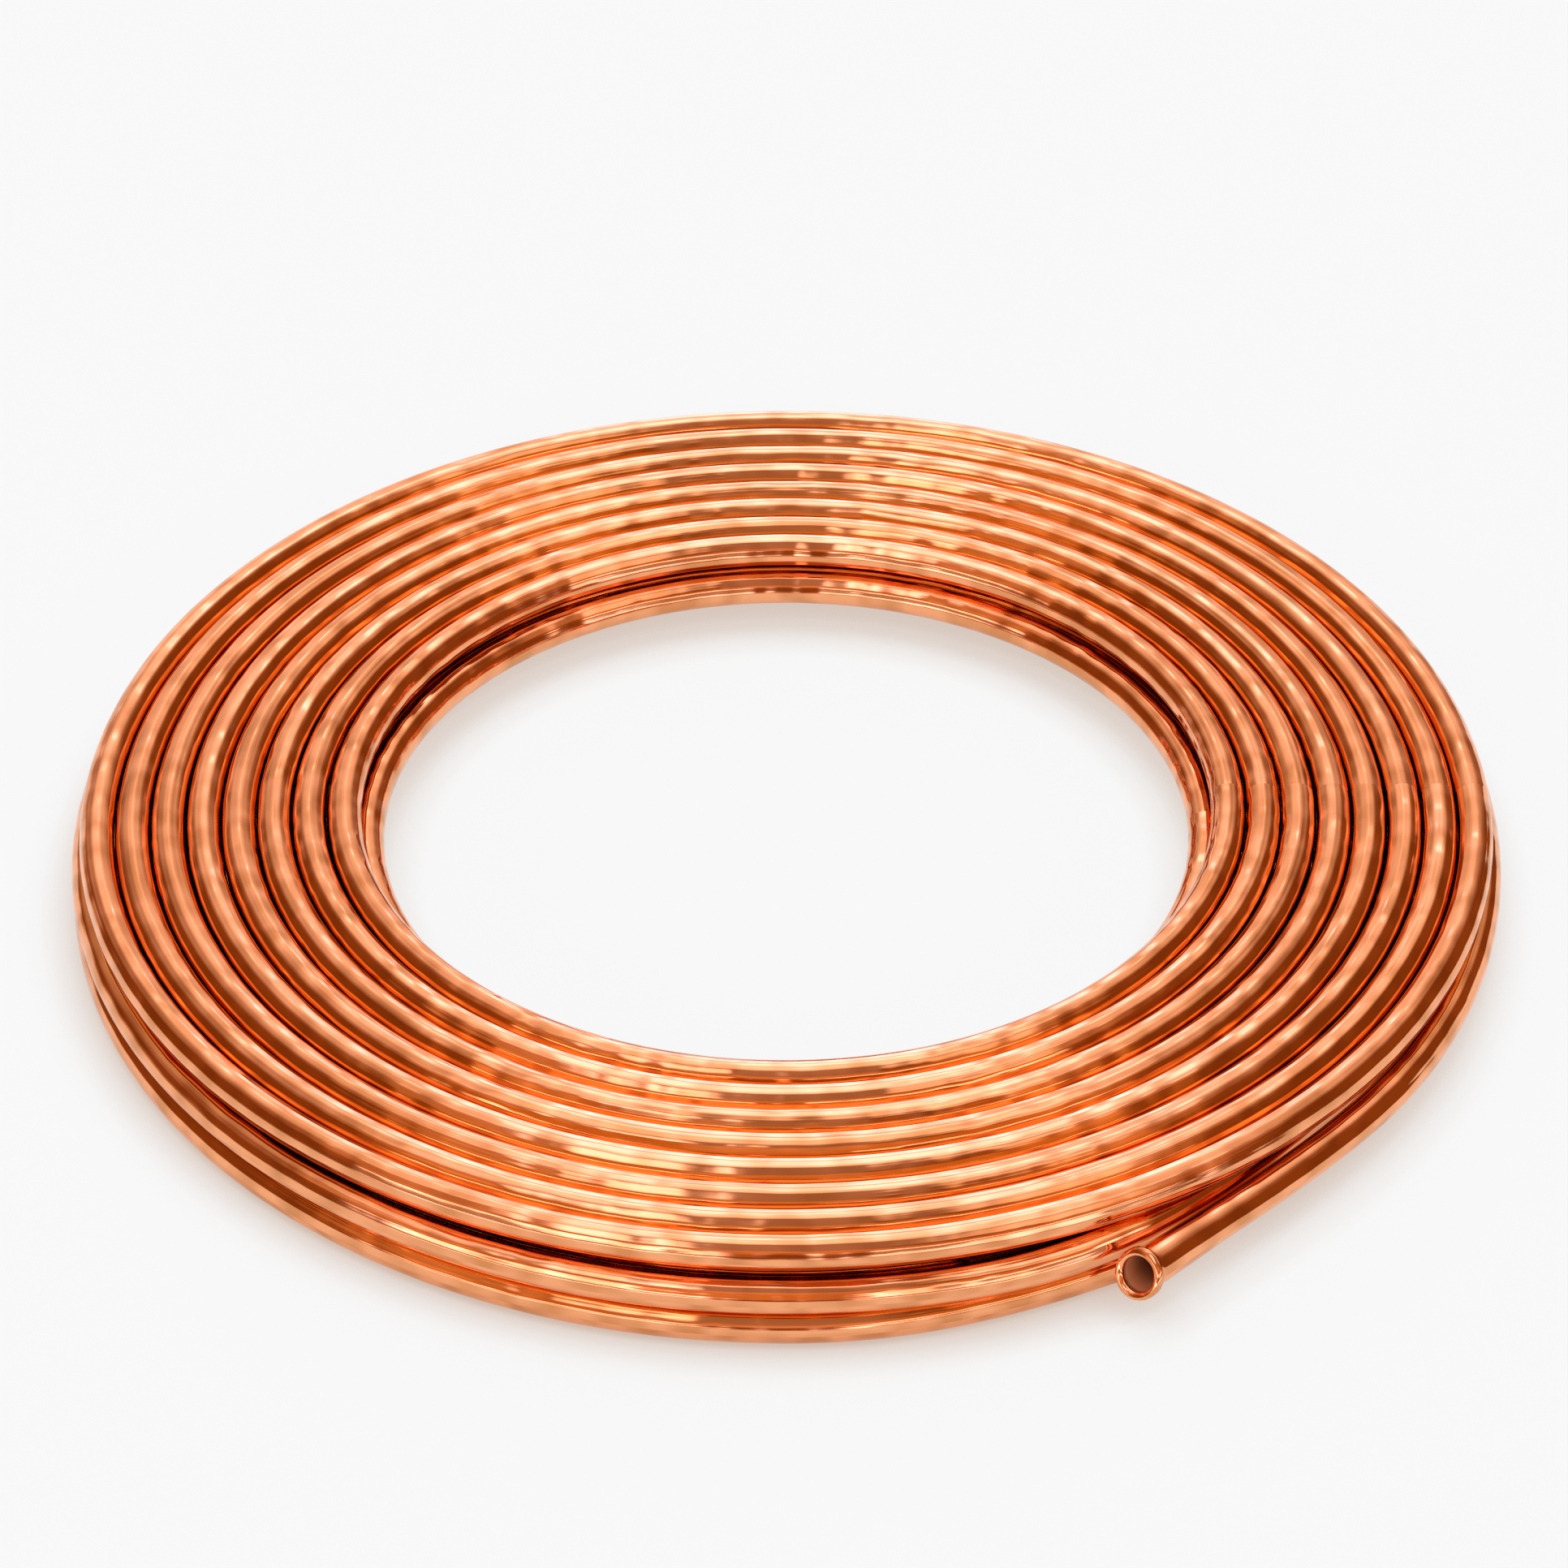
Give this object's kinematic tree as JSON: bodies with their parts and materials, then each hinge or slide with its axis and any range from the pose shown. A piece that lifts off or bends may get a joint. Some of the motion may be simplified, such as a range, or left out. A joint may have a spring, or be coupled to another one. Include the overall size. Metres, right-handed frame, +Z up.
{
  "type": "copper tube coil",
  "caption": "Flat coil of soft copper tube wound in layers around an open eye, with one open end standing off the rim, for plumbing and refrigeration lines.",
  "frame": {"origin": "on the coil's axis, at the floor that it lies on", "axes": "+Z up along the coil's axis; the free end leaves the rim towards +X and -Y"},
  "size_m": [0.5317, 0.5318, 0.0385],
  "materials": {
    "copper": "bright drawn copper"
  },
  "bodies": {
    "root": {"copper_tube": "copper"}
  },
  "joints": []
}
